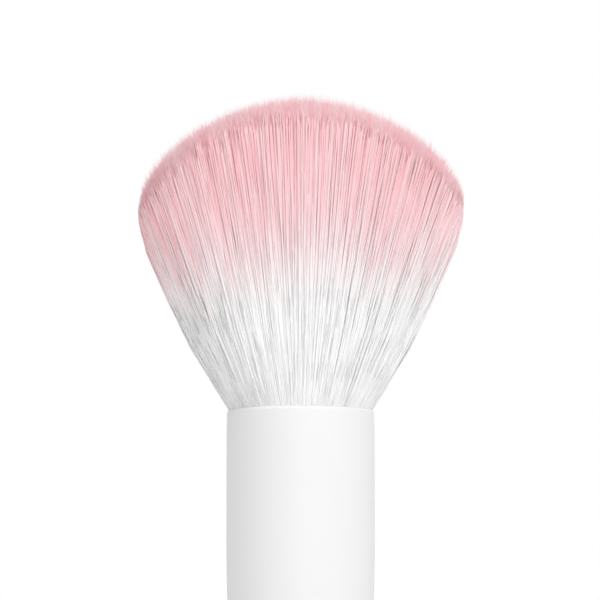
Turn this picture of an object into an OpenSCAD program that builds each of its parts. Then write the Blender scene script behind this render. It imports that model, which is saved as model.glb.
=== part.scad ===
// Powder brush: a domed oval tuft of dip-dyed strands, a painted metal ferrule and a slim hollow handle.
// The tail of the handle is at the origin, the tuft points up, and its broad side faces the front.
// Depths are measured down from the ferrule's mouth, and heights in the tuft are measured up from it.

/* [Tuft] */
// Height of the tuft above the mouth of the ferrule
head_h = 42.5; // [36:0.5:50]
// Widest width of the tuft, from side to side
head_w = 44.5; // [36:0.5:52]
// Depth of the tuft from front to back, near its top
head_depth = 30; // [24:0.5:40]
// Height of the widest level above the mouth
widest_h = 27.6; // [22:0.2:33]
// Height by which most of the round bundle has turned oval
oval_h = 9; // [6:0.5:14]
// Width of the zone at each side in which the fan of strands is reined in
rein_w = 2.2; // [1:0.1:4]
// Depth of the strand roots below the mouth
root_depth = 12; // [9:0.5:15]
// Thickness of the resin slice that the strands stand on
slice_t = 1.5; // [1:0.1:2.5]
// How much shorter than the dome the shortest strands end
uneven_tips = 1.1; // [0:0.1:1.5]
// How far a strand's tip strays from its place
tip_stray = 0.35; // [0:0.05:0.5]
// Rings of strands round the middle
strand_rings = 11; // [10:1:11]
// Radius of a strand, as a share of the distance between two rings of strands
strand_share = 0.55; // [0.4:0.01:0.58]

/* [Ferrule] */
// Diameter of the ferrule where it is straight
ferrule_d = 20; // [16:0.5:24]
// Thickness of the ferrule's metal
ferrule_wall = 0.5; // [0.45:0.05:0.8]
// Radius of the rounded outer edge of its mouth
lip_round = 0.4; // [0.2:0.05:0.4]
// How far the ferrule is drawn in at its mouth, on the radius
mouth_draw = 0.1; // [0:0.05:0.3]
// Length of the drawn-in stretch at the mouth
mouth_run = 5.1; // [3:0.1:7]
// Depth at which the ferrule starts to narrow towards the handle
shoulder_depth = 18.2; // [14:0.2:22]
// Radius of the long curve by which it narrows
shoulder_r = 210; // [150:5:400]
// Width of one crimp ring
crimp_w = 1.6; // [1:0.1:1.8]
// Distance between the two crimp rings
crimp_pitch = 2.2; // [2:0.1:3]
// Height of the lower crimp above the ferrule's lower end
crimp_lift = 2.6; // [2:0.1:4]
// How far a crimp bites into the tenon
crimp_bite = 0.12; // [0.05:0.01:0.3]

/* [Inside] */
// Width of the elastic band round the strand roots
band_h = 2.5; // [1.5:0.1:4]
// Thickness of the band
band_t = 0.45; // [0.3:0.05:0.7]
// Height of the band above the resin slice
band_lift = 0.4; // [0.2:0.1:1]
// Height of the resin plug below the slice
plug_h = 6; // [4:0.5:9]
// Empty height between the resin plug and the tenon
air_gap = 5; // [2:0.5:8]

/* [Handle] */
// Length of the handle below the ferrule
handle_l = 100; // [80:1:130]
// Diameter of the handle near its tail
tail_d = 8.6; // [7:0.2:12]
// Radius of the rounded edge of the tail
tail_round = 3; // [1:0.1:3.5]
// Wall of the hollow handle
handle_wall = 2.2; // [1.5:0.1:2.8]
// Solid length at the tail, below the hollow
tail_solid = 14; // [8:1:25]
// Length of the tenon inside the ferrule
tenon_l = 15; // [12:0.5:20]
// Edge break at the top of the tenon
tenon_chamfer = 0.6; // [0.2:0.1:1.2]

/* [Fits] */
// Gap between pieces that are glued or seated
seat_gap = 0.05; // [0.02:0.01:0.1]
// Gap between the outer strands and the mouth of the ferrule
strand_gap = 0.1; // [0.05:0.01:0.3]
// Gap between the tenon and the ferrule's lower end
tenon_gap = 0.06; // [0.03:0.01:0.15]
// Rounded or broken edge at the seam of ferrule and handle
seam_break = 0.15; // [0.05:0.05:0.3]
// How far the handle stands inside the ferrule's surface at the seam
seam_step = 0.06; // [0:0.01:0.2]

/* [Hidden] */
$fn = 96;

// Exponent of the almost straight line by which the strands spread out above the mouth
spread_power = 0.86;
// Width of the free fan at the widest level, as a share of the tuft's width there
free_fan_share = 1.075;
// Exponent of the rounded dome that the tips lie on
dome_power = 1.75;
// How much a way to the front counts on the dome, as a share of the same way to the side
dome_front_share = 0.76;
// Halvings of a range of heights by which a strand's tip is found on the dome
halvings = 20;
// Heights of a strand's sections, as shares of its own height above the mouth
level_shares = [0, 0.44, 0.88];
// Height above the mouth at which the strands clear its lip
lip_rise = 0.1;
// Angles of a section's corners from the way it faces, with a flat side outwards
corner_angles = [-60, 60, 180];
// Part of a turn by which each ring of strands is set against the one inside it
ring_offset_share = 0.618;
// Seed of the strands' small differences
strand_seed = 7;
// Points along each long curve, each crimp and each rounded edge
long_steps = 14;
crimp_steps = 8;
edge_steps = 6;
crimp_count = 2;
// Inset of the glue ring from the top of the tenon and from the upper crimp
glue_inset = 0.5;

ferrule_r = ferrule_d / 2;
ferrule_l = root_depth + plug_h + air_gap + tenon_l;
mouth_z = handle_l + ferrule_l;
slice_depth = root_depth - slice_t;
tail_r = tail_d / 2;

// Depths of the crimp rings, the lower one first
crimp_depths = [for (i = [0:crimp_count - 1]) ferrule_l - crimp_lift - i * crimp_pitch];

// Radius of the ferrule's outside at a depth, before it is crimped
function plain_r(depth) =
    depth < mouth_run ? ferrule_r - mouth_draw * pow(1 - depth / mouth_run, 2)
    : depth < shoulder_depth ? ferrule_r
    : ferrule_r - shoulder_r + sqrt(pow(shoulder_r, 2) - pow(depth - shoulder_depth, 2));

tenon_r = plain_r(ferrule_l) - ferrule_wall - tenon_gap;
joint_r = plain_r(ferrule_l) - seam_step;

// How deep a crimp ring is pressed, so that its inside bites into the tenon
function crimp_dip(at) = plain_r(at) - ferrule_wall - tenon_r + crimp_bite;

// How far the metal is pressed in at a depth
function dip(depth) = max([for (at = crimp_depths)
    let (from_middle = abs(depth - at) / (crimp_w / 2))
    from_middle < 1 ? crimp_dip(at) * (1 + cos(180 * from_middle)) / 2 : 0]);

function outer_r(depth) = plain_r(depth) - dip(depth);
function bore_r(depth) = outer_r(depth) - ferrule_wall;

// Evenly spaced numbers from a to b
function steps(a, b, count) = [for (i = [0:count]) a + (b - a) * i / count];

// Depths through both crimps, from the upper one down
crimp_stations = [for (i = [crimp_count - 1:-1:0])
    each steps(crimp_depths[i] - crimp_w / 2, crimp_depths[i] + crimp_w / 2, crimp_steps)];

// Depths at which the ferrule's profile has a point, between its lip and its lower end
ferrule_stations = concat(
    steps(ferrule_wall, mouth_run, edge_steps),
    steps(shoulder_depth, crimp_stations[0], long_steps),
    [for (i = [1:len(crimp_stations) - 1]) crimp_stations[i]]);

// Points on an arc round a centre, from one angle to another
function arc(centre, radius, from, to) =
    [for (a = steps(from, to, edge_steps)) centre + radius * [cos(a), sin(a)]];

// A point of a revolved profile, at a radius and a depth below the mouth
function at_depth(radius, depth) = [radius, mouth_z - depth];

module ferrule() {
    lip_inner = ferrule_wall - lip_round;
    outer_end = outer_r(ferrule_l);
    color("white")
    rotate_extrude()
    polygon(concat(
        [for (i = [len(ferrule_stations) - 1:-1:0])
            at_depth(bore_r(ferrule_stations[i]), ferrule_stations[i])],
        arc(at_depth(bore_r(0) + lip_inner, lip_inner), lip_inner, 180, 90),
        arc(at_depth(outer_r(0) - lip_round, lip_round), lip_round, 90, 0),
        [for (depth = ferrule_stations) if (depth > lip_round) at_depth(outer_r(depth), depth)],
        [at_depth(outer_r(ferrule_l - seam_break), ferrule_l - seam_break),
         at_depth(outer_end - seam_break, ferrule_l),
         at_depth(bore_r(ferrule_l), ferrule_l)]));
}

// Radius of the handle at a height above its tail: it runs on from the ferrule's slope
function handle_r(z) = tail_r + (joint_r - tail_r) * pow(z / handle_l, 2);

// Radius of the tenon at a depth, with a groove under each crimp
function tenon_at(depth) = min(tenon_r, bore_r(depth) - seat_gap);

// Radius of the hollow, which keeps the wall and gets no wider downwards
function hollow_r(z) = min(tenon_r, handle_r(min(z, handle_l))) - handle_wall;

module handle() {
    tenon_top = handle_l + tenon_l;
    tail_centre = [tail_r - tail_round, tail_round];
    hollow_end_r = hollow_r(tail_solid);
    color("white")
    rotate_extrude()
    polygon(concat(
        [[0, 0]],
        arc(tail_centre, tail_round, -90, 0),
        [for (z = steps(tail_round, handle_l - seam_break, 2 * long_steps)) if (z > tail_round)
            [handle_r(z), z]],
        [[joint_r - seam_break, handle_l], [tenon_at(ferrule_l), handle_l]],
        [for (i = [len(crimp_stations) - 1:-1:0]) at_depth(tenon_at(crimp_stations[i]), crimp_stations[i])],
        [[tenon_r, tenon_top - tenon_chamfer], [tenon_r - tenon_chamfer, tenon_top],
         [tenon_r - handle_wall, tenon_top]],
        [for (z = steps(handle_l, tail_solid + hollow_end_r, long_steps)) [hollow_r(z), z]],
        [[0, tail_solid]]));
}

// Cured glue between the tenon and the ferrule, above the crimps
module tenon_glue() {
    top = ferrule_l - tenon_l + glue_inset;
    bottom = crimp_stations[0] - glue_inset;
    color("lightyellow")
    rotate_extrude()
    polygon(concat(
        [at_depth(tenon_r + seat_gap, bottom)],
        [for (depth = steps(bottom, top, edge_steps)) at_depth(bore_r(depth) - seat_gap, depth)],
        [at_depth(tenon_r + seat_gap, top)]));
}

// Reach of the outer strands at the mouth, and at the slice, so that the band just fits round them
mouth_reach = bore_r(0) - strand_gap;
band_fit = bore_r(slice_depth) - band_t - 2 * seat_gap;
band_climb = (band_lift + band_h) / (slice_depth + lip_rise);
root_reach = (band_fit - band_climb * mouth_reach) / (1 - band_climb);

// Resin below the slice, which also fills the ring between the slice and the ferrule
module resin_plug() {
    plug_depth = root_depth + plug_h;
    cup_r = root_reach + seat_gap;
    color("khaki")
    rotate_extrude()
    polygon(concat(
        [at_depth(0, root_depth), at_depth(0, plug_depth)],
        [for (depth = steps(plug_depth, slice_depth, edge_steps)) at_depth(bore_r(depth) - seat_gap, depth)],
        [at_depth(cup_r, slice_depth), at_depth(cup_r, root_depth)]));
}

// Elastic band with rounded edges round the strand roots
module tuft_band() {
    edge_r = band_t / 2;
    band_r = band_fit + seat_gap + edge_r;
    low = slice_depth - band_lift;
    high = low - band_h;
    color("tan")
    rotate_extrude()
    polygon(concat(
        arc(at_depth(band_r, high + edge_r), edge_r, 0, 180),
        arc(at_depth(band_r, low - edge_r), edge_r, 180, 360)));
}

// The strands stand on a lattice of rings, where ring j has 6 j points and is widest at j = strand_rings.
// Every triangle whose outer edge lies on a ring carries a strand, and the others are the slice's top face.
strand_count = 3 * strand_rings * (strand_rings + 1);
outer_count = 6 * strand_rings;
level_count = len(level_shares);
strand_points = 3 * level_count + 1;
outermost = strand_rings - 1 / 3;

// Radius of the outermost strands' middles where their flat sides reach out to a radius
function middle_r(reach) = reach / (1 + strand_share / (2 * outermost));
mouth_spread = middle_r(mouth_reach);
widest_spread = free_fan_share * middle_r(head_w / 2);

function first_of(ring) = ring == 0 ? 0 : 1 + 3 * ring * (ring - 1);
function lattice(ring, i) = ring == 0 ? [0, 0]
    : let (turn = 60 * i / ring) root_reach * ring / strand_rings * [cos(turn), sin(turn)];
function inner_index(ring, i) =
    ring == 1 ? 0 : (floor(i / ring) * (ring - 1) + i % ring) % (6 * (ring - 1));

lattice_points = [for (ring = [0:strand_rings], i = [0:max(0, 6 * ring - 1)]) lattice(ring, i)];
strand_places = [for (ring = [1:strand_rings], i = [0:6 * ring - 1]) [ring, i]];

// The three lattice points under a strand, seen from above in the order of the clock's reverse
function roots(place) = let (ring = place[0], i = place[1])
    [first_of(ring) + i, first_of(ring) + (i + 1) % (6 * ring), first_of(ring - 1) + inner_index(ring, i)];

// Half the width of the free fan of strands at a height above the mouth
function spread(h) = let (climb = max(0, h - lip_rise) / (widest_h - lip_rise))
    mouth_spread + (widest_spread - mouth_spread) * pow(climb, spread_power);

// Distance to the side after the outer zone is reined in
function reined(x) =
    let (free_x = head_w / 2 - rein_w, over = max(0, abs(x) - free_x))
    sign(x) * (min(abs(x), free_x) + rein_w * (1 - 2 / (exp(2 * over / rein_w) + 1)));

// Half the width of the dome at a height above the mouth
function dome_r(h) = let (climb = max(0, h - widest_h) / (head_h - widest_h))
    head_w / 2 * pow(max(0, 1 - pow(climb, dome_power)), 1 / dome_power);

drops = rands(0, uneven_tips, strand_count, strand_seed);
strays = rands(-tip_stray, tip_stray, 2 * strand_count, strand_seed + 1);

// How far a ring of strands turns between its roots and its tips, so that no two rings line up
function ring_turn(ring) = 60 / ring * ((ring * ring_offset_share) % 1 - 1 / 2);

// Depth of the fan at a height above the mouth, as a share of its width there
function depth_share(h) = 1 - (1 - head_depth / (2 * spread(head_h))) * (1 - exp(-max(0, h) / oval_h));

// A point above the mouth, at a height, an angle and a radius in a round fan, with an offset
function in_tuft(h, angle, radius, offset = [0, 0]) =
    [reined(radius * cos(angle) + offset[0]),
     depth_share(h) * (radius * sin(angle) + offset[1]),
     mouth_z + h];

// Height above the mouth at which a strand meets the dome, between two heights
function tip_height(aim, place_share, low, high, left) =
    left == 0 ? low
    : let (h = (low + high) / 2, spot = in_tuft(h, aim, place_share * spread(h)))
      norm([spot[0], dome_front_share * spot[1]]) < dome_r(h)
      ? tip_height(aim, place_share, h, high, left - 1)
      : tip_height(aim, place_share, low, h, left - 1);

// The points of one strand above its roots: three for each level, and its tip
function strand(n) =
    let (ring = strand_places[n][0],
         heading = 60 / ring * (strand_places[n][1] + 1 / 2),
         place_share = (ring - 1 / 3) / outermost,
         tip_aim = heading + ring_turn(ring),
         tip_h = tip_height(tip_aim, place_share, widest_h, head_h, halvings) - drops[n])
    concat(
        [for (share = level_shares, corner = corner_angles)
            let (h = lip_rise + share * (tip_h - lip_rise),
                 aim = heading + ring_turn(ring) * share,
                 strand_r = strand_share * spread(h) / outermost)
            in_tuft(h, aim, place_share * spread(h), strand_r * [cos(aim + corner), sin(aim + corner)])],
        [in_tuft(tip_h, tip_aim, place_share * spread(tip_h), [strays[2 * n], strays[2 * n + 1]])]);

slice_top = mouth_z - slice_depth;
slice_bottom = mouth_z - root_depth;
first_strand_point = len(lattice_points);
first_bottom_point = first_strand_point + strand_count * strand_points;
bottom_middle = first_bottom_point + outer_count;

// Two triangles that join edge a-b to edge c-d above it
function wall_faces(a, b, c, d) = [[a, c, d], [a, d, b]];

function strand_faces(n) =
    let (start = first_strand_point + n * strand_points,
         rows = concat([roots(strand_places[n])],
                       [for (level = [0:level_count - 1]) [for (side = [0:2]) start + 3 * level + side]]),
         tip = start + 3 * level_count)
    concat(
        [for (level = [0:level_count - 1], side = [0:2])
            each wall_faces(rows[level][side], rows[level][(side + 1) % 3],
                            rows[level + 1][side], rows[level + 1][(side + 1) % 3])],
        [for (side = [0:2]) [rows[level_count][side], tip, rows[level_count][(side + 1) % 3]]]);

// The slice's top face between the strands
top_faces = [for (ring = [2:strand_rings], i = [0:6 * ring - 1]) if (i % ring < ring - 1)
    let (inner = first_of(ring - 1) + inner_index(ring, i),
         next = first_of(ring - 1) + inner_index(ring, i + 1),
         outer = first_of(ring) + i + 1)
    [inner, next, outer]];

edge_faces = [for (i = [0:outer_count - 1]) let (next = (i + 1) % outer_count)
    each wall_faces(first_bottom_point + i, first_bottom_point + next,
                    first_of(strand_rings) + i, first_of(strand_rings) + next)];

bottom_faces = [for (i = [0:outer_count - 1])
    [bottom_middle, first_bottom_point + i, first_bottom_point + (i + 1) % outer_count]];

module bristles() {
    color("pink")
    polyhedron(
        points = concat(
            [for (p = lattice_points) [p[0], p[1], slice_top]],
            [for (n = [0:strand_count - 1]) each strand(n)],
            [for (i = [0:outer_count - 1]) let (p = lattice(strand_rings, i)) [p[0], p[1], slice_bottom]],
            [[0, 0, slice_bottom]]),
        faces = concat(top_faces, [for (n = [0:strand_count - 1]) each strand_faces(n)],
                       edge_faces, bottom_faces),
        convexity = 10);
}

bristles();
tuft_band();
resin_plug();
ferrule();
tenon_glue();
handle();
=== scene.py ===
# %% [markdown]
# # A powder brush with a dip-dyed tuft
# The brush is an oval, domed tuft of synthetic filaments in a smooth white ferrule, on a slim white handle.
# The rigid parts come as finished solids, and this script gives them their surfaces. The tuft comes as a
# few hundred coarse strands, so it is built anew here, filament by filament.

import math

import bpy
import numpy as np
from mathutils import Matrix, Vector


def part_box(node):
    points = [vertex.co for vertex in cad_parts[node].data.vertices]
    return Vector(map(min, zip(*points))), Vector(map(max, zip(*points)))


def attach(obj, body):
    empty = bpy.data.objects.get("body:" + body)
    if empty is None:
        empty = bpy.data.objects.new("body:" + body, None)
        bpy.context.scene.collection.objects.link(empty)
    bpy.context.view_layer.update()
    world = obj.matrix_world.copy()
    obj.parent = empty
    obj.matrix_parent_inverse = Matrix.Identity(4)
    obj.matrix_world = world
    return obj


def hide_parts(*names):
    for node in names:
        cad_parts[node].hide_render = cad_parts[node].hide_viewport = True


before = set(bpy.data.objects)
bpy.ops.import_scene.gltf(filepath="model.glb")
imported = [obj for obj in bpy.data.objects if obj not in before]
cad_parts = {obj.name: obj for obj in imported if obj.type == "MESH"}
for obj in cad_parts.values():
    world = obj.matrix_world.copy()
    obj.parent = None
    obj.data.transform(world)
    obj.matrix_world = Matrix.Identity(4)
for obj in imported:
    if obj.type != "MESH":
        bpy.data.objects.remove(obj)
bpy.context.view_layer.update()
print("parts:", ", ".join(sorted(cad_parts)))

# %% [markdown]
# ## Sizes taken from the parts
# The tuft and the camera are measured from the mouth of the ferrule, which the photograph shows clearly. The
# ferrule's own box gives the mouth's height and the radius, so nothing has to be typed twice.

# %% Heights and radii
MM = 0.001
ferrule_low, ferrule_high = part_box("ferrule")
tuft_low, tuft_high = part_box("bristles")
mouth_z = ferrule_high.z
ferrule_r = (ferrule_high.x - ferrule_low.x) / 2
root_depth = mouth_z - tuft_low.z
print(f"mouth at {mouth_z / MM:.1f} mm, ferrule {2 * ferrule_r / MM:.1f} mm wide, "
      f"roots {root_depth / MM:.1f} mm deep")

# %% [markdown]
# ## The camera
# A long lens far away gives the flat perspective of a product photograph. The ferrule's rim bows up by four
# or five pixels, which only happens when the lens sits lower than the rim: here by 45 mm, about the middle
# of the brush. The distance and the width of the ferrule in the picture then fix the lens.

# %% Camera
PICTURE_PX = 600
SENSOR_WIDTH = 36
FERRULE_PX = 148.4
PICTURE_MIDDLE_ABOVE_MOUTH = 14.9 * MM
CAMERA_DISTANCE = 735 * MM
CAMERA_BELOW_MOUTH = 45 * MM
BRUSH_RIGHT_OF_MIDDLE_PX = 0.6

metres_per_px = 2 * ferrule_r / FERRULE_PX
camera_x = -BRUSH_RIGHT_OF_MIDDLE_PX * metres_per_px
camera_data = bpy.data.cameras.new("camera")
camera_data.sensor_width = SENSOR_WIDTH
camera_data.lens = SENSOR_WIDTH * CAMERA_DISTANCE / (PICTURE_PX * metres_per_px)
camera = bpy.data.objects.new("camera", camera_data)
bpy.context.scene.collection.objects.link(camera)
camera.location = (camera_x, -CAMERA_DISTANCE, mouth_z - CAMERA_BELOW_MOUTH)
tilt = math.atan2(CAMERA_BELOW_MOUTH + PICTURE_MIDDLE_ABOVE_MOUTH, CAMERA_DISTANCE)
camera.rotation_euler = (math.pi / 2 + tilt, 0, 0)
bpy.context.scene.camera = camera
print(f"lens {camera_data.lens:.0f} mm, tilted up {math.degrees(tilt):.1f} degrees")

# %% [markdown]
# ## The shape of the tuft
# The filaments open like a fan: each leans out over the ferrule's lip and then runs almost straight. The
# fan opens less from front to back than sideways, so the round bundle becomes an oval head. Only the
# outermost filaments at the sides are reined in by their neighbours and bend upright near the widest level.

# %% Fan
MOUTH_R = 9.45 * MM
ROOT_R = 8.75 * MM
FAN_SLOPE = 0.435
FLARE = 2.2 * MM
FLARE_H = 7 * MM
FREE_X = 20 * MM
REIN = 2.2 * MM
DEPTH_SHARE = 0.5
FLATTEN_H = 9 * MM


def fan_radius(h):
    """Half width of the whole fan at heights above the mouth, and of the bundle below it."""
    above = MOUTH_R + FAN_SLOPE * h + FLARE * (1 - np.exp(-np.maximum(h, 0) / FLARE_H))
    below = MOUTH_R + (ROOT_R - MOUTH_R) * np.clip(-h / root_depth, 0, 1)
    return np.where(h > 0, above, below)


def in_tuft(x, y, h):
    """Places in the tuft of filaments that a straight, round fan would have at x and y."""
    side = np.abs(x)
    reined = np.minimum(side, FREE_X) + REIN * np.tanh(np.maximum(side - FREE_X, 0) / REIN)
    depth = 1 - (1 - DEPTH_SHARE) * (1 - np.exp(-np.maximum(h, 0) / FLATTEN_H))
    return np.copysign(reined, x), y * depth


# %% [markdown]
# The tips lie on a dome. Its outline is a superellipse, a little leaner at the shoulder than a true
# ellipse. It falls far less towards the front than towards the sides, so that the streaks in front run up
# almost to the outline, as they do in the photograph. How deep the real head is can't be seen there. Halving
# a range of heights again and again finds where each filament meets the dome.

# %% Dome
WIDEST_R = 22.0 * MM
WIDEST_H = 26.7 * MM
TOP_H = 41.1 * MM
DOME_POWER = 1.74
DOME_FRONT_SHARE = 0.48
DOME_RIGHT = 0.2 * MM
HALVINGS = 24


def dome_radius(h):
    """Radius of the dome at heights between the widest level and the top."""
    climb = (h - WIDEST_H) / (TOP_H - WIDEST_H)
    return WIDEST_R * (1 - climb ** DOME_POWER) ** (1 / DOME_POWER)


def end_height(root):
    """Height above the mouth at which filaments meet the dome, from their places in the bundle as shares."""
    low, high = np.full(root.shape[1], WIDEST_H), np.full(root.shape[1], TOP_H)
    for _ in range(HALVINGS):
        h = (low + high) / 2
        x, y = in_tuft(*(root * fan_radius(h)), h)
        inside = np.hypot(x - DOME_RIGHT, DOME_FRONT_SHARE * y) < dome_radius(h)
        low, high = np.where(inside, h, low), np.where(inside, high, h)
    return low


middle_side_front = end_height(np.array([[0, 1, 0], [0, 0, 1]]))
print("dome in mm above the mouth in the middle, at the side and in front:",
      (middle_side_front / MM).round(1))

# %% [markdown]
# ## Locks
# Filaments never spread evenly. They cling together in locks, about half a millimetre wide at the tips, with
# fine slits between them that run from the ferrule almost to the tips. Here the fan's section is cut into
# uneven strips, once from left to right and once from front to back, so that a lock is where two strips
# cross.

# %% Filaments and their locks
FILAMENTS = 80000
STRIPS = 90
STRIP_UNEVEN = 0.65
ANGLE_UNEVEN = 0.003
GOLDEN_ANGLE = math.pi * (3 - math.sqrt(5))
SEED = 20
rng = np.random.default_rng(SEED)

number = np.arange(FILAMENTS)
share = np.sqrt((number + 0.5) / FILAMENTS)
angle = (number * GOLDEN_ANGLE + rng.normal(0, ANGLE_UNEVEN, FILAMENTS)) % (2 * math.pi)
root = np.stack([share * np.cos(angle), share * np.sin(angle)])

strip = np.zeros((2, FILAMENTS), int)
strip_middle = np.zeros((2, FILAMENTS))
for axis in (0, 1):
    widths = rng.uniform(1 - STRIP_UNEVEN, 1 + STRIP_UNEVEN, STRIPS)
    edges = np.concatenate([[0], np.cumsum(widths)]) / widths.sum() * 2 - 1
    strip[axis] = np.clip(np.searchsorted(edges, root[axis]) - 1, 0, STRIPS - 1)
    strip_middle[axis] = ((edges[1:] + edges[:-1]) / 2)[strip[axis]]
lock = strip[0] * STRIPS + strip[1]
print(f"{FILAMENTS} filaments in {len(np.unique(lock))} locks")

# %% [markdown]
# Each strip and each lock has habits of its own: how tightly it gathers, how far it drifts, how long it is.
# Each filament adds a little of its own: it sways, is thicker or thinner, and ends a little higher or
# lower. Those at the rim are shorter, most of all in front and at the back. That softens the edge between
# the dome and the side of the head, which still shows from the side and from behind. A fixed seed keeps all
# of it the same in every run.

# %% Habits of locks and filaments
GATHER_MOST = 0.04
STRIP_DRIFT = 0.025 * MM
LOCK_DRIFT = 0.05 * MM
LOCK_LENGTH = 0.15 * MM
FILAMENT_SWAY = 0.1 * MM
WAVES = 1.1
THICKNESS_UNEVEN = 0.35
FILAMENT_UNEVEN = 0.5 * MM
MOST_UNEVEN = 1.4 * MM
WORN_SHORTER = 0.45 * MM
WORN_FROM = 0.62
FRONT_SHORTER = 1.0 * MM

gather = np.stack([GATHER_MOST * rng.uniform(0, 1, STRIPS)[strip[axis]] ** 2 for axis in (0, 1)])
drift = np.stack([rng.normal(0, STRIP_DRIFT, STRIPS)[strip[axis]] for axis in (0, 1)])
drift += rng.normal(0, LOCK_DRIFT, (2, STRIPS * STRIPS))[:, lock]
lock_longer = rng.normal(0, LOCK_LENGTH, STRIPS * STRIPS)[lock]
worn = np.maximum(share - WORN_FROM, 0) / (1 - WORN_FROM)
filament_longer = np.clip(rng.laplace(0, FILAMENT_UNEVEN, FILAMENTS), -MOST_UNEVEN, MOST_UNEVEN)
shorter = (rng.exponential(WORN_SHORTER, FILAMENTS) + FRONT_SHORTER * np.abs(root[1])) * worn ** 2
tip_h = end_height(root) + lock_longer + filament_longer - shorter
sway = rng.normal(0, FILAMENT_SWAY, (2, FILAMENTS))
phase = rng.uniform(0, 2 * math.pi, FILAMENTS)
facet = rng.uniform(-1, 1, FILAMENTS)
thickness = rng.uniform(1 - THICKNESS_UNEVEN, 1 + THICKNESS_UNEVEN, FILAMENTS)
print(f"tips from {tip_h.min() / MM:.1f} to {tip_h.max() / MM:.1f} mm above the mouth")

# %% [markdown]
# The shade of a filament is a number from 0, deep, to 1, light. It is mixed from the strips', the lock's
# and the filament's own, and then spread evenly over its range.

# %% Shades
SHADE_MIX = (0.4, 0.1, 0.1, 0.4)

shades = [rng.uniform(0, 1, STRIPS)[strip[0]], rng.uniform(0, 1, STRIPS)[strip[1]],
          rng.uniform(0, 1, STRIPS * STRIPS)[lock], rng.uniform(0, 1, FILAMENTS)]
mixed = sum(weight * one for weight, one in zip(SHADE_MIX, shades))
shade = np.argsort(np.argsort(mixed)) / (FILAMENTS - 1)
print(f"mean shade {shade.mean():.2f}")

# %% [markdown]
# ## Filament meshes
# A filament is a three-sided tube. Curves with a bevel would do the same, but tens of thousands of them are
# slow, so the rings of all filaments are worked out at once as arrays. The outer filaments, which show from
# the side, get more rings than the inner ones, of which only the tips show. The pull into a lock is
# strongest in the lower half of a filament and fades towards both ends. A filament that ends among its
# neighbours keeps its thickness until just below the tip, and one that stands out from them gets thinner
# the farther it does. So the outline of the head ends in a fine fringe.

# %% Path of a filament
FILAMENT_R = 0.048 * MM
THICKER = 1.05
ROOT_IN_RESIN = 0.8 * MM
ROOT_H = ROOT_IN_RESIN - root_depth
BELOW_MOUTH = -0.4 * MM
OUTER_RISES = (0.1, 0.3, 0.55, 0.8, 0.965, 1)
INNER_RISES = (0.96, 1)
TAPER_FROM = 0.9
GATHER_LOW, GATHER_WIDE = 0.7, 0.5
FINE_LENGTH = 0.25 * MM


def filament_rings(chosen, rises):
    """Middle and radius of every ring of the chosen filaments, from the root to the tip."""
    tips = tip_h[chosen][:, None]
    low_rings = [np.full_like(tips, ROOT_H), np.full_like(tips, BELOW_MOUTH)]
    h = np.concatenate([*low_rings, tips * np.array([rises])], axis=1)
    rise = np.clip(h / tips, 0, 1)
    gathered = np.sin(math.pi * rise ** GATHER_LOW) ** GATHER_WIDE
    begin = phase[chosen][:, None]
    wave = np.sin(2 * math.pi * WAVES * rise + begin) - np.sin(begin)
    spots = []
    for axis in (0, 1):
        spot = root[axis][chosen][:, None]
        spot = spot + gathered * (gather[axis] * (strip_middle[axis] - root[axis]))[chosen][:, None]
        sideways = drift[axis][chosen][:, None] * rise + sway[axis][chosen][:, None] * wave
        spots.append(spot * fan_radius(h) + sideways)
    middle = np.stack([*in_tuft(*spots, h), mouth_z + h], axis=2)
    fine = 1 / (1 + np.maximum(filament_longer[chosen], 0) / FINE_LENGTH)[:, None]
    thin = np.where(rise < TAPER_FROM, 1, np.where(rise < 1, fine, 0))
    thick = 1 + THICKER * (fan_radius(h) / MOUTH_R - 1)
    return middle, FILAMENT_R * thickness[chosen][:, None] * thick * thin


# %% [markdown]
# Round every ring of the path come three points, and the tip is one point more. Each tube turns one of its
# three faces outwards, give or take a little by chance, so neighbours catch the light differently.

# %% Points of the tubes
SIDES = 3
FACET_TURN = 0.5


def tube_points(chosen, middle, radius):
    """Points round all rings of the chosen filaments, and their tips."""
    count, rings = len(chosen), middle.shape[1] - 1
    along = np.gradient(middle, axis=1)
    along /= np.linalg.norm(along, axis=2, keepdims=True)
    out = np.stack([np.cos(angle[chosen]), np.sin(angle[chosen]), np.zeros(count)], axis=1)[:, None, :]
    side = np.cross(along, out)
    side /= np.linalg.norm(side, axis=2, keepdims=True)
    front = np.cross(side, along)
    start = math.pi / SIDES + FACET_TURN * facet[chosen][:, None, None]
    turn = start + np.arange(SIDES)[None, None, :] * 2 * math.pi / SIDES
    ring_middle, ring_r = middle[:, :rings, None, :], radius[:, :rings, None, None]
    corners = ring_middle + ring_r * (np.cos(turn)[..., None] * front[:, :rings, None, :]
                                      + np.sin(turn)[..., None] * side[:, :rings, None, :])
    return np.concatenate([corners.reshape(count, rings * SIDES, 3), middle[:, rings:, :]], axis=1)


# %% [markdown]
# All filaments of a mesh share one pattern of triangles, so it is worked out once. Seen from outside, the
# corners of a triangle go round anticlockwise, so each face looks outwards. For the UV map the pattern also
# tells how far round the tube each corner of a triangle lies, and on which ring.

# %% Triangles of one tube
def tube_triangles(rings):
    """Corners of the triangles of one tube, with their place round the tube and their ring."""
    faces, around, face_ring = [], [], []
    for ring in range(rings - 1):
        for k in range(SIDES):
            a, b = ring * SIDES + k, ring * SIDES + (k + 1) % SIDES
            c, d = a + SIDES, b + SIDES
            faces += [(a, b, d), (a, d, c)]
            around += [(k, k + 1, k + 1), (k, k + 1, k)]
            face_ring += [(ring, ring, ring + 1), (ring, ring + 1, ring + 1)]
    last, tip = rings - 1, rings * SIDES
    for k in range(SIDES):
        faces.append((last * SIDES + k, last * SIDES + (k + 1) % SIDES, tip))
        around.append((k, k + 1, k + 0.5))
        face_ring.append((last, last, rings))
    return np.array(faces), np.array(around, float), np.array(face_ring)


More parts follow.
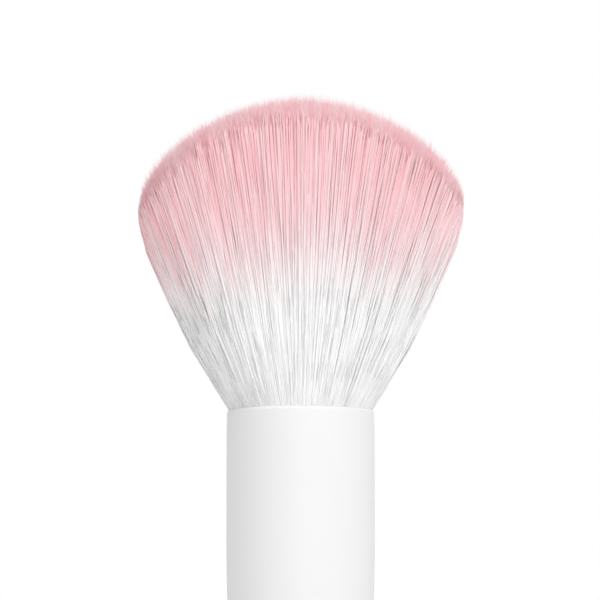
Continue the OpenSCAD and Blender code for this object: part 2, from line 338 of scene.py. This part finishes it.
print(len(tube_triangles(len(OUTER_RISES) + 1)[0]), "triangles on an outer filament,",
      len(tube_triangles(len(INNER_RISES) + 1)[0]), "on an inner one")

# %% [markdown]
# The mesh gets a UV map in which u is the filament's shade and v its height. The dye and the streaks are
# painted on that map, so the colour follows each filament and survives when the model leaves Blender. The
# heights of the left half are read a little higher, so the pink reaches lower there: painted shade on the
# side away from the key lamp.

# %% Mesh of many filaments
SHADE_COLUMNS = 64
# Painted shade: how much lower the pink reaches at the far left, the side away from the key lamp.
LEFT_PAINTED_SHADE = 5 * MM
ROOM_OVER_TOP = 3 * MM
map_height = TOP_H + ROOM_OVER_TOP - ROOT_H


def filament_mesh(name, chosen, rises):
    """One mesh of all chosen filaments."""
    middle, radius = filament_rings(chosen, rises)
    points = tube_points(chosen, middle, radius)
    faces, around, face_ring = tube_triangles(middle.shape[1] - 1)
    count, per_tube = points.shape[:2]
    corner_points = (faces[None] + np.arange(count)[:, None, None] * per_tube).reshape(-1)
    mesh = bpy.data.meshes.new(name)
    mesh.vertices.add(count * per_tube)
    mesh.vertices.foreach_set("co", points.reshape(-1))
    mesh.loops.add(len(corner_points))
    mesh.loops.foreach_set("vertex_index", corner_points)
    mesh.polygons.add(count * len(faces))
    mesh.polygons.foreach_set("loop_start", np.arange(0, len(corner_points), 3))
    column = np.minimum((shade[chosen] * SHADE_COLUMNS).astype(int), SHADE_COLUMNS - 1)
    u = (column[:, None, None] + around[None] / SIDES) / SHADE_COLUMNS
    # Painted shade: the left half's heights are read higher, so its pink reaches lower, as if in shade.
    left = np.maximum(-middle[:, :, 0], 0) / WIDEST_R
    shaded_height = middle[:, :, 2] - mouth_z + LEFT_PAINTED_SHADE * left ** 2
    v = ((shaded_height - ROOT_H) / map_height)[:, face_ring]
    layer = mesh.uv_layers.new(name="OFBake")
    layer.data.foreach_set("uv", np.stack([u, v], axis=3).reshape(-1).astype(np.float32))
    mesh.update()
    mesh.validate()
    return mesh


# %% [markdown]
# The tuft is cut into six slices, as a cake is, and each slice into an outer and an inner piece. That keeps
# every mesh at a size that other programs open without trouble. Every filament stays whole, so no cut
# shows.

# %% Tuft pieces
OUTER_SHARE = 0.83
SLICES = 6

cake_slice = (angle / (2 * math.pi) * SLICES).astype(int) % SLICES
outer = share > OUTER_SHARE
tuft = []
for name, part, rises in (("tuft_outer", outer, OUTER_RISES), ("tuft_inner", ~outer, INNER_RISES)):
    for n in range(SLICES):
        mesh = filament_mesh(f"{name}_{n + 1}", np.nonzero(part & (cake_slice == n))[0], rises)
        piece = bpy.data.objects.new(mesh.name, mesh)
        bpy.context.scene.collection.objects.link(piece)
        tuft.append(piece)
        print(mesh.name, len(mesh.polygons), "triangles")

# %% [markdown]
# ## The resin that holds the roots
# Inside the ferrule the roots stand in a slice of cured resin. It is a low disc with a rounded edge and a
# raised rim, where the resin has crept up the outer filaments. A cylinder is added at its place, its top is
# inset and sunk, and a bevel rounds the edges.

# %% Resin slice
RESIN_T = 1.5 * MM
RESIN_R = 8.8 * MM
CREEP_W = 1.2 * MM
CREEP_H = 0.25 * MM
RESIN_EDGE = 0.12 * MM
RESIN_CORNERS, EDGE_STEPS = 96, 3
FACES_UP = 0.9
SMOOTH_BELOW = math.radians(40)


def select_only(piece):
    """Make one object the only selected and active one."""
    bpy.ops.object.select_all(action="DESELECT")
    piece.select_set(True)
    bpy.context.view_layer.objects.active = piece


bpy.ops.object.select_all(action="DESELECT")
resin_middle = (0, 0, tuft_low.z + RESIN_T / 2)
bpy.ops.mesh.primitive_cylinder_add(vertices=RESIN_CORNERS, radius=RESIN_R, depth=RESIN_T,
                                    location=resin_middle)
resin = bpy.context.active_object
resin.name = resin.data.name = "root_resin"
bpy.ops.object.mode_set(mode="EDIT")
bpy.ops.mesh.select_all(action="DESELECT")
bpy.ops.object.mode_set(mode="OBJECT")
for face in resin.data.polygons:
    face.select = face.normal.z > FACES_UP
bpy.ops.object.mode_set(mode="EDIT")
bpy.ops.mesh.inset(thickness=CREEP_W)
bpy.ops.transform.translate(value=(0, 0, -CREEP_H))
bpy.ops.object.mode_set(mode="OBJECT")
select_only(resin)
bpy.ops.object.transform_apply(location=True, rotation=True, scale=True)
bevel = resin.modifiers.new("rounded edges", "BEVEL")
bevel.width, bevel.segments, bevel.limit_method = RESIN_EDGE, EDGE_STEPS, "ANGLE"
bpy.ops.object.modifier_apply(modifier=bevel.name)
bpy.ops.object.shade_smooth_by_angle(angle=SMOOTH_BELOW)
print("resin slice:", len(resin.data.polygons), "faces")

# %% [markdown]
# ## Materials
# Each finish is a small node tree. The first helper starts one from a Principled shader with fixed values on
# the shader's own sockets. The second adds a node, which is only needed for what varies over the surface.

# %% Node helpers
def new_finish(name, **sockets):
    """A material whose Principled shader has the given values. Returns material, tree and shader."""
    material = bpy.data.materials.new(name)
    material.use_nodes = True
    shader = material.node_tree.nodes["Principled BSDF"]
    for socket, value in sockets.items():
        shader.inputs[socket.replace("_", " ")].default_value = value
    return material, material.node_tree, shader


def add_node(tree, kind, inputs=(), **settings):
    """A node with its settings, and its inputs set to values or linked to other nodes' outputs."""
    node = tree.nodes.new(kind)
    for key, value in settings.items():
        setattr(node, key, value)
    for key, value in dict(inputs).items():
        if isinstance(value, bpy.types.NodeSocket):
            tree.links.new(value, node.inputs[key])
        else:
            node.inputs[key].default_value = value
    return node


def linear(red, green, blue):
    """A colour as it looks on screen, from 0 to 255, as the light values that shaders use."""
    values = [x / 255 for x in (red, green, blue)]
    return tuple(x / 12.92 if x <= 0.04045 else ((x + 0.055) / 1.055) ** 2.4 for x in values) + (1,)


# %% [markdown]
# The filaments are a white synthetic, dyed pink from the tips down. The dye fades over about two
# centimetres, and higher or lower from one filament to the next, so the edge is a soft fringe of streaks. A
# ramp along v gives the dye. The shade in u moves that edge, and makes the filament lighter or deeper.

# %% Dye of the filaments
DYE_STOPS_MM = ((13, 0), (17, 0.2), (21, 0.55), (26, 0.85), (34, 1))
WHITE = linear(255, 255, 255)
DEEP_PINK = linear(253, 199, 205)
LIGHT_PINK = linear(253, 216, 220)
DYE_UNEVEN = 2.5 * MM

filament, tree, shader = new_finish("dip_dyed_filament", Roughness=0.5, Specular_IOR_Level=0.3)
uv = add_node(tree, "ShaderNodeUVMap", uv_map="OFBake")
split = add_node(tree, "ShaderNodeSeparateXYZ", {0: uv.outputs[0]})
column = add_node(tree, "ShaderNodeMath", {0: split.outputs["X"], 1: SHADE_COLUMNS}, operation="MULTIPLY")
column = add_node(tree, "ShaderNodeMath", {0: column.outputs[0]}, operation="FLOOR")
chance = add_node(tree, "ShaderNodeTexWhiteNoise", {"W": column.outputs[0]}, noise_dimensions="1D")
shift = add_node(tree, "ShaderNodeMapRange", {
    "Value": chance.outputs["Value"],
    "To Min": -DYE_UNEVEN / map_height, "To Max": DYE_UNEVEN / map_height})
place = add_node(tree, "ShaderNodeMath", {0: split.outputs["Y"], 1: shift.outputs[0]})
ramp = add_node(tree, "ShaderNodeValToRGB", {0: place.outputs[0]})
ramp.color_ramp.interpolation = "EASE"
while len(ramp.color_ramp.elements) < len(DYE_STOPS_MM):
    ramp.color_ramp.elements.new(0.5)
for stop, (height_mm, dye) in zip(ramp.color_ramp.elements, DYE_STOPS_MM):
    stop.position = (height_mm * MM - ROOT_H) / map_height
    stop.color = (dye, dye, dye, 1)
pink = add_node(tree, "ShaderNodeMix", {
    0: split.outputs["X"], 6: DEEP_PINK, 7: LIGHT_PINK}, data_type="RGBA")
dyed = add_node(tree, "ShaderNodeMix", {
    0: ramp.outputs[0], 6: WHITE, 7: pink.outputs[2]}, data_type="RGBA")
print("dye fades from", DYE_STOPS_MM[-1][0], "down to", DYE_STOPS_MM[0][0], "mm above the mouth")

# %% [markdown]
# Where a filament passes under another it is shaded over a short stretch. A noise along v darkens such
# dashes here and there, more on the white than on the pink. It begins at another place on every shade, so
# the dashes don't line up in rings.

# %% Shaded dashes
DASHES = 11
DASH_BEGIN = 1000
DASH_FROM, DASH_FULL = 0.69, 0.77
DARK_WHITE = 0.82
DARK_PINK = 0.96

begin = add_node(tree, "ShaderNodeMath", {
    0: chance.outputs["Value"], 1: DASH_BEGIN}, operation="MULTIPLY")
along = add_node(tree, "ShaderNodeMath", {
    0: split.outputs["Y"], 1: DASHES, 2: begin.outputs[0]}, operation="MULTIPLY_ADD")
dashes = add_node(tree, "ShaderNodeTexNoise", {
    "W": along.outputs[0], "Scale": 1, "Detail": 0}, noise_dimensions="1D")
deepest = add_node(tree, "ShaderNodeMapRange", {
    "Value": ramp.outputs[0], "To Min": DARK_WHITE, "To Max": DARK_PINK})
level = add_node(tree, "ShaderNodeMapRange", {
    "Value": dashes.outputs[0], "From Min": DASH_FROM, "From Max": DASH_FULL,
    "To Min": 1, "To Max": deepest.outputs[0]})
tinted = add_node(tree, "ShaderNodeVectorMath", {
    0: dyed.outputs[2], "Scale": level.outputs[0]}, operation="SCALE")
tree.links.new(tinted.outputs[0], shader.inputs["Base Color"])
print("filament finish:", len(tree.nodes), "nodes")

# %% [markdown]
# Ferrule and handle are white with a satin gloss, one lacquered and one moulded. Both have a very slight
# unevenness that only shows in reflections, so a fine noise drives the roughness and a shallow bump.

# %% Ferrule, handle and inner finishes
GLOSS_UNEVEN = 0.04
RIPPLE_H = 0.004 * MM
GRAIN_H = 0.02 * MM


def glossy_white(name, colour, roughness, ripple_per_m):
    """A satin white with a slight ripple."""
    material, tree, shader = new_finish(name, Base_Color=colour, Specular_IOR_Level=0.3)
    where = add_node(tree, "ShaderNodeTexCoord")
    ripple = add_node(tree, "ShaderNodeTexNoise", {
        "Vector": where.outputs["Object"], "Scale": ripple_per_m, "Detail": 3})
    gloss = add_node(tree, "ShaderNodeMapRange", {
        "Value": ripple.outputs[0], "To Min": roughness - GLOSS_UNEVEN, "To Max": roughness + GLOSS_UNEVEN})
    bump = add_node(tree, "ShaderNodeBump", {
        "Height": ripple.outputs[0], "Distance": RIPPLE_H, "Strength": 1})
    tree.links.new(gloss.outputs[0], shader.inputs["Roughness"])
    tree.links.new(bump.outputs[0], shader.inputs["Normal"])
    return material


def inner_finish(name, light_colour, deep_colour, roughness, grain_per_m):
    """A cured or rubbery material, mottled between two colours."""
    material, tree, shader = new_finish(name, Roughness=roughness)
    where = add_node(tree, "ShaderNodeTexCoord")
    grain = add_node(tree, "ShaderNodeTexNoise", {
        "Vector": where.outputs["Object"], "Scale": grain_per_m, "Detail": 4})
    mix = add_node(tree, "ShaderNodeMix", {
        0: grain.outputs[0], 6: light_colour, 7: deep_colour}, data_type="RGBA")
    bump = add_node(tree, "ShaderNodeBump", {
        "Height": grain.outputs[0], "Distance": GRAIN_H, "Strength": 1})
    tree.links.new(mix.outputs[2], shader.inputs["Base Color"])
    tree.links.new(bump.outputs[0], shader.inputs["Normal"])
    return material


FINISHES = {
    "ferrule": glossy_white("white_lacquer", linear(231, 231, 231), 0.42, 900),
    "handle": glossy_white("white_plastic", linear(232, 232, 231), 0.36, 600),
    "resin_plug": inner_finish("cured_resin", linear(226, 205, 150), linear(200, 170, 105), 0.25, 700),
    "tenon_glue": inner_finish("cured_glue", linear(240, 235, 205), linear(225, 214, 170), 0.45, 900),
    "tuft_band": inner_finish("elastic", linear(214, 196, 150), linear(190, 168, 118), 0.7, 2500),
}
for name, material in FINISHES.items():
    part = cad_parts[name]
    part.data.materials.clear()
    part.data.materials.append(material)
resin.data.materials.append(FINISHES["resin_plug"])
for piece in tuft:
    piece.data.materials.append(filament)
print("finishes:", ", ".join(sorted(m.name for m in FINISHES.values())))

# %% [markdown]
# ## Floor, world and lamps
# The set is as plain as in a catalogue: a pale floor, an even white surrounding and soft lamps. The floor
# takes the brush's shadow near the handle and fades into the white background farther out. It does so for
# the camera only, which sees its colour go and a glow of strength 1 come in its place, so no light is added
# to the brush.

# %% Floor
FLOOR_R = 3.0
FLOOR_CORNERS = 128
FADE_FROM, FADE_TO = 0.3, 1.6
FLOOR_GREY = linear(240, 240, 240)
bpy.ops.object.select_all(action="DESELECT")
bpy.ops.mesh.primitive_circle_add(vertices=FLOOR_CORNERS, radius=FLOOR_R, fill_type="NGON",
                                  location=(0, 0, 0))
floor = bpy.context.active_object
floor.name = "floor"
material, tree, shader = new_finish("pale_floor", Roughness=0.8)
where = add_node(tree, "ShaderNodeTexCoord")
away = add_node(tree, "ShaderNodeVectorMath", {0: where.outputs["Object"]}, operation="LENGTH")
faded = add_node(tree, "ShaderNodeMapRange", {
    "Value": away.outputs["Value"], "From Min": FADE_FROM, "From Max": FADE_TO},
    interpolation_type="SMOOTHSTEP")
rays = add_node(tree, "ShaderNodeLightPath")
white = add_node(tree, "ShaderNodeMath", {
    0: faded.outputs[0], 1: rays.outputs["Is Camera Ray"]}, operation="MULTIPLY")
colour = add_node(tree, "ShaderNodeMix", {
    0: white.outputs[0], 6: FLOOR_GREY, 7: (0, 0, 0, 1)}, data_type="RGBA")
shader.inputs["Emission Color"].default_value = (1, 1, 1, 1)
tree.links.new(colour.outputs[2], shader.inputs["Base Color"])
tree.links.new(white.outputs[0], shader.inputs["Emission Strength"])
floor.data.materials.append(material)
print("floor", FLOOR_R, "m in radius")

# %% [markdown]
# The surrounding is white for the camera and for reflections. As a source of light it is dimmer, so the
# white parts keep their shading.

# %% World
AMBIENT = 0.6
world = bpy.data.worlds.new("studio")
bpy.context.scene.world = world
world.use_nodes = True
tree = world.node_tree
rays = add_node(tree, "ShaderNodeLightPath")
seen = add_node(tree, "ShaderNodeMath", {
    0: rays.outputs["Is Camera Ray"], 1: rays.outputs["Is Glossy Ray"]}, operation="MAXIMUM")
seen = add_node(tree, "ShaderNodeMath", {
    0: seen.outputs[0], 1: rays.outputs["Is Transmission Ray"]}, operation="MAXIMUM")
level = add_node(tree, "ShaderNodeMapRange", {"Value": seen.outputs[0], "To Min": AMBIENT, "To Max": 1})
background = tree.nodes["Background"]
background.inputs["Color"].default_value = (1, 1, 1, 1)
tree.links.new(level.outputs[0], background.inputs["Strength"])
print("ambient level", AMBIENT)

# %% [markdown]
# Three soft lamps light the brush. The key lamp from the right front shapes the round ferrule. A low fill
# lamp in front reaches into the slits between the filaments, so they are not too dark. A high lamp from the
# left lights the tips on the dome.

# %% Lamps
LAMP_DISTANCE = 1.1
LAMP_SIZE = 0.5
LAMPS = {"key": (42, 42, 4.3), "fill": (3, 12, 2.0), "top": (-45, 70, 2.5)}


def soft_lamp(name, azimuth, elevation, power):
    """Add a round soft lamp aimed at the mouth, from degrees right of the front and above the level."""
    data = bpy.data.lights.new(name, "AREA")
    data.shape, data.size, data.energy = "DISK", LAMP_SIZE, power
    lamp = bpy.data.objects.new(name, data)
    bpy.context.scene.collection.objects.link(lamp)
    around, up = math.radians(azimuth), math.radians(elevation)
    lamp.location = (LAMP_DISTANCE * math.cos(up) * math.sin(around),
                     -LAMP_DISTANCE * math.cos(up) * math.cos(around),
                     mouth_z + LAMP_DISTANCE * math.sin(up))
    lamp.rotation_euler = (math.pi / 2 - up, 0, around)


for name, (azimuth, elevation, power) in LAMPS.items():
    soft_lamp(name, azimuth, elevation, power)
bpy.context.scene.view_settings.view_transform = "Standard"
print(len(LAMPS), "soft lamps", LAMP_DISTANCE, "m from the tuft")

# %% [markdown]
# ## Which piece belongs to which part
# The filaments and the resin slice stand for the coarse tuft. All of them ride on the one body that the
# brush is.

# %% Riding and replacing
for piece in tuft:
    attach(piece, "root")
    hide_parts("bristles")
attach(resin, "root")
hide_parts("bristles")
print(sum(len(p.data.polygons) for p in tuft), "triangles in the tuft")
